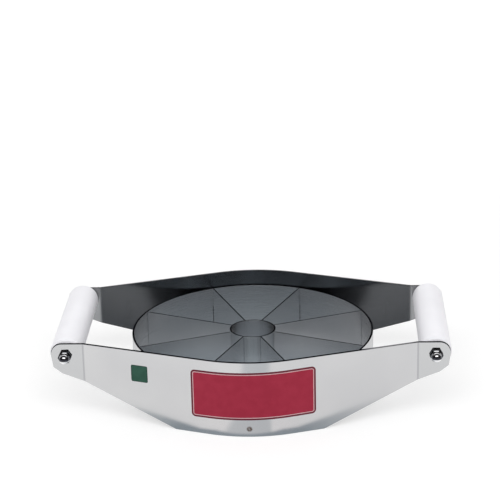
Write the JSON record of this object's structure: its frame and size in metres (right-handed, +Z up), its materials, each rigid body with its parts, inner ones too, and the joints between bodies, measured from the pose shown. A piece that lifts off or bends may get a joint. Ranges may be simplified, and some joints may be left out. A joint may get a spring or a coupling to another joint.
{
  "type": "pineapple slicer",
  "caption": "Push-down pineapple cutter: bent steel side plates hold a ring of radial blades round a core tube, with a white roller grip between the plates at each end.",
  "frame": {"origin": "on the table, under the middle of the blade ring, which is the middle of the base of the whole", "axes": "+X to the right from grip to grip, +Y to the rear, away from the plate that faces the viewer, +Z up"},
  "size_m": [0.2896, 0.1836, 0.06],
  "materials": {
    "plate_steel": "satin rolled stainless sheet",
    "ring_steel": "satin rolled stainless strip",
    "blade_steel": "ground stainless, finer at the cutting edge",
    "rod_steel": "turned stainless",
    "nut_chrome": "polished",
    "grip_plastic": "turned white plastic with a soft sheen"
  },
  "bodies": {
    "frame": {"front_side_plate": "plate_steel", "rear_side_plate": "plate_steel", "blade_ring": "ring_steel", "core_tube": "blade_steel", "blade_1": "blade_steel", "blade_2": "blade_steel", "blade_3": "blade_steel", "blade_4": "blade_steel", "blade_5": "blade_steel", "blade_6": "blade_steel", "blade_7": "blade_steel", "blade_8": "blade_steel", "left_axle_rod": "rod_steel", "right_axle_rod": "rod_steel", "left_front_cap_nut": "nut_chrome", "left_rear_cap_nut": "nut_chrome", "right_front_cap_nut": "nut_chrome", "right_rear_cap_nut": "nut_chrome"},
    "left_grip": {"left_grip": "grip_plastic"},
    "right_grip": {"right_grip": "grip_plastic"}
  },
  "joints": [
    {"name": "left_grip_spin", "type": "hinge", "parent": "frame", "child": "left_grip", "pos_m": [-0.1333, 0, 0.0485], "axis": [0, 1, 0], "continuous": true},
    {"name": "right_grip_spin", "type": "hinge", "parent": "frame", "child": "right_grip", "pos_m": [0.1333, 0, 0.0485], "axis": [0, 1, 0], "continuous": true}
  ]
}
